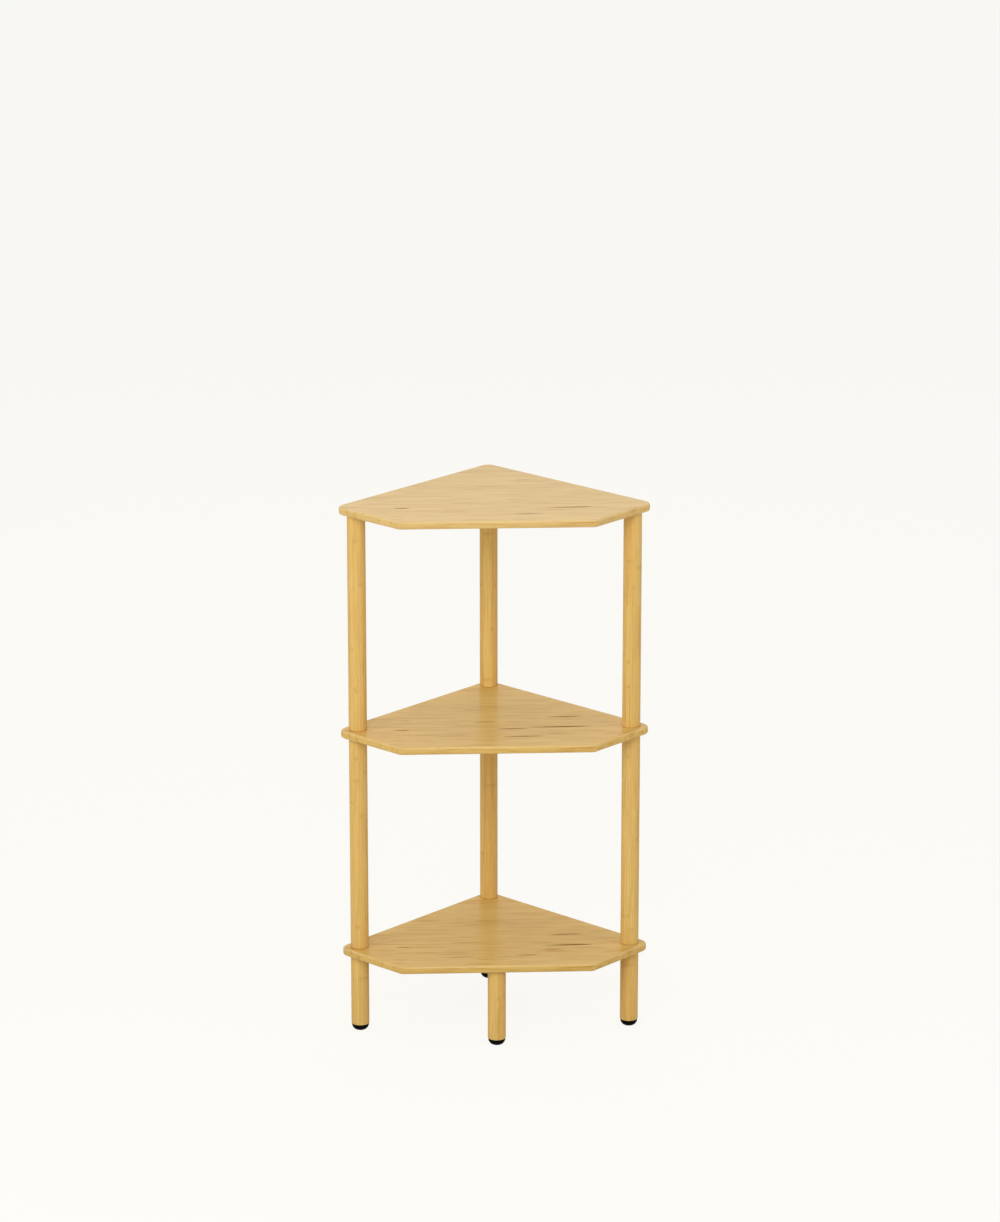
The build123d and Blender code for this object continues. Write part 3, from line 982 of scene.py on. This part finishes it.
# threaded pieces: double-ended screws and inserts
def buildThreadRidge():
    # a helical ridge with a flat crest, fading out at both ends
    tree, given, result = newGeometryTree("threadRidge", {
        "Core Radius": 0.0023, "Crest Radius": 0.003, "Pitch": 0.001, "From": 0.0, "To": 0.01, "Steps": 20,
    })
    rise = maths(tree, "SUBTRACT", given["To"], given["From"])
    turns = maths(tree, "DIVIDE", rise, given["Pitch"])
    spiral = addNode(tree, "GeometryNodeCurveSpiral", {
        "Resolution": given["Steps"], "Rotations": turns, "Start Radius": given["Core Radius"],
        "End Radius": given["Core Radius"], "Height": rise,
    }).outputs[0]
    upright = addNode(tree, "GeometryNodeSetCurveNormal", {0: spiral}, mode="Z_UP").outputs[0]
    halfBase = maths(tree, "MULTIPLY", given["Pitch"], 0.42)
    halfCrest = maths(tree, "MULTIPLY", given["Pitch"], 0.07)
    depth = maths(tree, "SUBTRACT", given["Crest Radius"], given["Core Radius"])
    sunk = maths(tree, "MULTIPLY", depth, -0.25)
    section = addNode(tree, "GeometryNodeCurvePrimitiveQuadrilateral", {
        "Point 1": joinVector(tree, sunk, halfBase), "Point 2": joinVector(tree, depth, halfCrest),
        "Point 3": joinVector(tree, depth, maths(tree, "MULTIPLY", halfCrest, -1.0)),
        "Point 4": joinVector(tree, sunk, maths(tree, "MULTIPLY", halfBase, -1.0)),
    }, mode="POINTS").outputs[0]
    factor = tree.nodes.new("GeometryNodeSplineParameter").outputs["Factor"]
    toEnd = maths(tree, "MINIMUM", factor, maths(tree, "SUBTRACT", 1.0, factor))
    fade = maths(tree, "ADD", maths(tree, "MULTIPLY", toEnd, maths(tree, "MULTIPLY", turns, 1.6)), 0.08)
    ridge = addNode(tree, "GeometryNodeCurveToMesh", {
        0: upright, "Profile Curve": section, "Scale": maths(tree, "MINIMUM", fade, 1.0), "Fill Caps": True,
    }).outputs[0]
    tree.links.new(lifted(tree, ridge, given["From"]), result["Geometry"])
    spreadNodes(tree)
    return tree


threadRidge = buildThreadRidge()


def thread(tree, given, pitch, start, end, steps):
    return useGroup(tree, threadRidge, {
        "Core Radius": given["Core Radius"], "Crest Radius": given["Crest Radius"], "Pitch": pitch,
        "From": start, "To": end, "Steps": steps,
    })["Geometry"]


screwSizes = {
    "coreRadius": 0.0024,
    "crestRadius": 0.00295,
    "woodLength": 0.030,
    "pointLength": 0.005,
    "collarRadius": 0.0029,
    "collarHalfHeight": 0.0006,
    "collarFootHalfHeight": 0.001,
    "Wood Pitch": 0.0024,
    "Metric Pitch": 0.001,
    "endChamfer": 0.0008,
    "threadRunOut": 0.0009,
}


def buildScrewTree():
    # turned core, wood thread below the pole's end face and machine thread above it
    tree, given, result = newGeometryTree("doubleEndedScrew", {
        "Profile": "NodeSocketObject", "Wood Pitch": 0.0024, "Metric Pitch": 0.001,
        "Core Radius": 0.0024, "Crest Radius": 0.00295, "Wood From": -0.025, "Wood To": -0.0015,
        "Metric From": 0.0012, "Metric To": 0.01, "Place": (0.0, 0.0, 0.0),
        "Material": "NodeSocketMaterial",
    })
    core = useGroup(tree, turnedBody, {
        "Profile": given["Profile"], "Softness": 0.00012, "Softness Steps": 2, "Segments": 36})["Geometry"]
    wood = thread(tree, given, given["Wood Pitch"], given["Wood From"], given["Wood To"], 22)
    metric = thread(tree, given, given["Metric Pitch"], given["Metric From"], given["Metric To"], 22)
    placed = moved(tree, joinGeometry(tree, core, wood, metric), given["Place"])
    tree.links.new(finishSurface(tree, placed, given["Material"]), result["Geometry"])
    spreadNodes(tree)
    return tree


screwTree = buildScrewTree()


def screwProfile(name, metricLength):
    core, chamfer = screwSizes["coreRadius"], screwSizes["endChamfer"]
    collar, woodEnd = screwSizes["collarRadius"], -screwSizes["woodLength"]
    collarEdge, collarFoot = screwSizes["collarHalfHeight"], screwSizes["collarFootHalfHeight"]
    return profileCurve(name, [
        (0.0, metricLength, 0.0), (core - chamfer, metricLength), (core, metricLength - chamfer),
        (core, collarFoot), (collar, collarEdge), (collar, -collarEdge), (core, -collarFoot),
        (core, woodEnd + screwSizes["pointLength"]), (0.0, woodEnd, 0.0),
    ])


screwNames = ["upperPoleScrew" + name for name in placeNames[:3]]
screwNames += ["lowerPoleScrew" + name for name in placeNames[:3]]
screwNames += ["legScrew" + name for name in placeNames]
for pieceName in screwNames:
    (x, y, lowEnd), length = axisPlace(nodeName(pieceName))
    metricLength = length - screwSizes["woodLength"]
    profile = screwProfile("screwProfile", metricLength)
    growPiece(pieceName, screwTree, {
        "Profile": profile,
        "Core Radius": screwSizes["coreRadius"], "Crest Radius": screwSizes["crestRadius"],
        "Wood Pitch": screwSizes["Wood Pitch"], "Metric Pitch": screwSizes["Metric Pitch"],
        "Wood From": screwSizes["pointLength"] - screwSizes["woodLength"],
        "Metric To": metricLength - screwSizes["threadRunOut"],
        "Place": (x, y, lowEnd + screwSizes["woodLength"]), "Material": zincSteel,
    }, nodeName(pieceName))
    bpy.data.objects.remove(profile)
print("screws built")

insertSizes = {
    "boreRadius": 0.0031,
    "bodyRadius": 0.0044,
    "flangeRadius": 0.0065,
    "flangeThickness": 0.0012,
    "Crest Radius": 0.00496,
    "Pitch": 0.0022,
    "Key Flats": 0.007,
    "Key Depth": 0.003,
    "endChamfer": 0.0007,
    "threadRunOut": 0.0015,
}


def buildInsertTree():
    tree, given, result = newGeometryTree("threadedInsert", {
        "Profile": "NodeSocketObject", "Pitch": 0.0022, "Core Radius": 0.0044, "Crest Radius": 0.00496,
        "From": 0.0014, "To": 0.012, "Key Flats": 0.007, "Key Depth": 0.003,
        "Place": (0.0, 0.0, 0.0), "Material": "NodeSocketMaterial",
    })
    body = useGroup(tree, turnedBody, {
        "Profile": given["Profile"], "Softness": 0.00012, "Softness Steps": 2, "Segments": 60})["Geometry"]
    key = addNode(tree, "GeometryNodeMeshCylinder", {
        "Vertices": 6, "Radius": maths(tree, "MULTIPLY", given["Key Flats"], 0.5 / math.cos(math.pi / 6)),
        "Depth": maths(tree, "MULTIPLY", given["Key Depth"], 2.0),
    }).outputs[0]
    ridge = thread(tree, given, given["Pitch"], given["From"], given["To"], 30)
    placed = moved(tree, joinGeometry(tree, cutAway(tree, body, key), ridge), given["Place"])
    tree.links.new(finishSurface(tree, placed, given["Material"]), result["Geometry"])
    spreadNodes(tree)
    return tree


insertTree = buildInsertTree()


def insertProfile(name, length):
    bore, body, chamfer = insertSizes["boreRadius"], insertSizes["bodyRadius"], insertSizes["endChamfer"]
    flange, flangeTop = insertSizes["flangeRadius"], insertSizes["flangeThickness"]
    return profileCurve(name, [
        (bore, length, 0.0), (body - chamfer, length), (body, length - chamfer), (body, flangeTop, 0.0),
        (flange, flangeTop), (flange, 0.0), (bore, 0.0, 0.0),
    ], closed=True)


insertHolders = ("upperPole", "lowerPole", "topShelf")
insertNames = [holder + "Insert" + name for holder in insertHolders for name in placeNames[:3]]
for pieceName in insertNames + ["bottomShelfInsertFront"]:
    place, length = axisPlace(nodeName(pieceName))
    profile = insertProfile("insertProfile", length)
    growPiece(pieceName, insertTree, {
        "Profile": profile, "Pitch": insertSizes["Pitch"], "Core Radius": insertSizes["bodyRadius"],
        "Crest Radius": insertSizes["Crest Radius"], "From": insertSizes["flangeThickness"],
        "To": length - insertSizes["threadRunOut"], "Key Flats": insertSizes["Key Flats"],
        "Key Depth": insertSizes["Key Depth"], "Place": place, "Material": insertBrass,
    }, nodeName(pieceName))
    bpy.data.objects.remove(profile)
print("inserts built")

# floor, world, lamps and camera
studio = {
    "world light": 0.34,
    "floor colour": (0.80, 0.80, 0.79, 1.0),
    "backdrop": (1.000, 0.990, 0.950, 1.0),
    "floor glow share": 0.92,
    "floor half size": 40.0,
}


def seenShare(tree):
    # 1 for rays from the camera, and for those that it sees mirrored or through glass
    rays = tree.nodes.new("ShaderNodeLightPath").outputs
    indirect = maths(tree, "MAXIMUM", rays["Is Glossy Ray"], rays["Is Transmission Ray"])
    return maths(tree, "MAXIMUM", rays["Is Camera Ray"], indirect)


def buildFloor():
    size = studio["floor half size"]
    corners = [(-size, -size, 0), (size, -size, 0), (size, size, 0), (-size, size, 0)]
    mesh = bpy.data.meshes.new("studioFloor")
    mesh.from_pydata(corners, [], [(0, 1, 2, 3)])
    floor = bpy.data.objects.new("studioFloor", mesh)
    bpy.context.scene.collection.objects.link(floor)
    material, tree, shader = newMaterial("studioPaper")
    tree.nodes.remove(shader)
    paper = addNode(tree, "ShaderNodeBsdfDiffuse", {"Color": studio["floor colour"]}).outputs[0]
    white = addNode(tree, "ShaderNodeEmission", {"Color": studio["backdrop"], "Strength": 1.0}).outputs[0]
    glow = maths(tree, "MULTIPLY", seenShare(tree), studio["floor glow share"])
    lit = addNode(tree, "ShaderNodeMixShader", {0: glow, 1: paper, 2: white})
    # from below, the paper lets the camera look through at the underside
    clear = tree.nodes.new("ShaderNodeBsdfTransparent").outputs[0]
    behind = tree.nodes.new("ShaderNodeNewGeometry").outputs["Backfacing"]
    shown = addNode(tree, "ShaderNodeMixShader", {0: behind, 1: lit.outputs[0], 2: clear})
    tree.links.new(shown.outputs[0], tree.nodes["Material Output"].inputs["Surface"])
    spreadNodes(tree)
    mesh.materials.append(material)


def buildWorld():
    world = bpy.data.worlds.new("studioWorld")
    bpy.context.scene.world = world
    world.use_nodes = True
    tree = world.node_tree
    background = tree.nodes["Background"]
    strength = between(tree, seenShare(tree), 0.0, 1.0, studio["world light"], 1.0)
    background.inputs["Color"].default_value = studio["backdrop"]
    tree.links.new(strength, background.inputs["Strength"])
    spreadNodes(tree)


# place, point aimed at, width, height (m), watts
lampLooks = {
    "frontSoftbox": ((-0.6, -2.8, 2.2), (0.0, 0.0, 0.4), 1.8, 1.6, 51.0),
    "leftSoftbox": ((-1.6, -0.8, 1.2), (0.0, 0.0, 0.4), 0.8, 1.6, 7.5),
    "rightSoftbox": ((1.5, -0.8, 1.1), (0.0, 0.0, 0.4), 0.8, 1.6, 6.2),
    "overheadSoftbox": ((0.0, 0.2, 3.2), (0.0, 0.0, 0.8), 2.0, 2.0, 10.5),
    "backSoftbox": ((0.0, 3.0, 2.4), (0.0, 0.0, 0.9), 3.2, 1.6, 19.5),
}


def buildLamps():
    for name, (place, target, width, height, watts) in lampLooks.items():
        data = bpy.data.lights.new(name, "AREA")
        data.shape = "RECTANGLE"
        data.size, data.size_y, data.energy = width, height, watts
        lamp = bpy.data.objects.new(name, data)
        lamp.location = place
        lamp.rotation_euler = (Vector(target) - Vector(place)).to_track_quat("-Z", "Y").to_euler()
        lamp.visible_camera = False
        bpy.context.scene.collection.objects.link(lamp)


cameraLooks = {
    "place": (-0.2926, -6.7808, 2.6711),
    "pitch down": 16.715,
    "turn right": 2.563,
    "lens": 140.80,
}


def buildCamera():
    data = bpy.data.cameras.new("photoCamera")
    data.sensor_width = 36.0
    data.lens = cameraLooks["lens"]
    camera = bpy.data.objects.new("photoCamera", data)
    camera.location = cameraLooks["place"]
    pitch, turn = math.radians(90 - cameraLooks["pitch down"]), math.radians(cameraLooks["turn right"])
    camera.rotation_euler = (pitch, 0.0, -turn)
    bpy.context.scene.collection.objects.link(camera)
    bpy.context.scene.camera = camera


buildFloor()
buildWorld()
buildLamps()
buildCamera()
bpy.context.scene.view_settings.view_transform = "Standard"
print("studio built")
